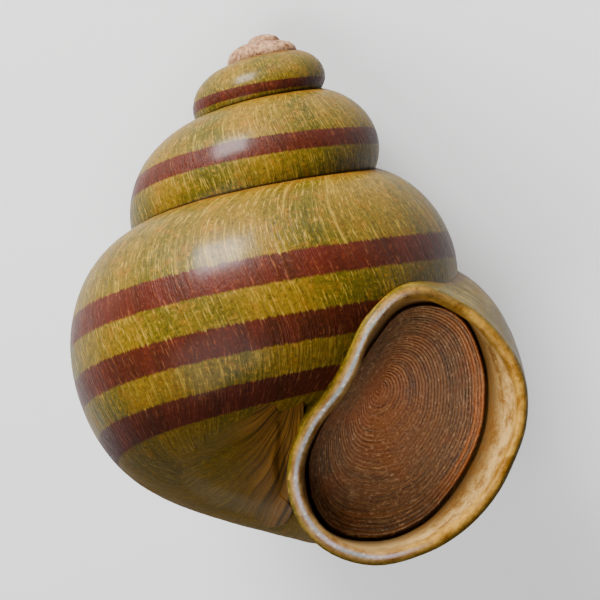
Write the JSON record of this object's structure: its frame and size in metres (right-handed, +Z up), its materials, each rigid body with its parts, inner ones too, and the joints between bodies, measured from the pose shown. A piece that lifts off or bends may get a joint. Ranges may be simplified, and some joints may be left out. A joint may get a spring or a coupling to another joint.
{
  "type": "mystery snail shell",
  "caption": "Globose spiral snail shell with dark bands and a ringed horny operculum set in its oval mouth, lying mouth up.",
  "frame": {"origin": "bottom centre of the bounding box, on the surface that the shell lies on", "axes": "+Z up, away from the surface; +Y from the mouth's base toward the pointed spire"},
  "size_m": [0.0336, 0.0382, 0.0292],
  "materials": {
    "periostracum": "glossy olive and gold skin with dark red-brown spiral bands, pearly white lip",
    "horn": "dull dark brown horn with fine concentric growth rings"
  },
  "bodies": {
    "root": {"shell": "periostracum", "operculum": "horn"}
  },
  "joints": []
}
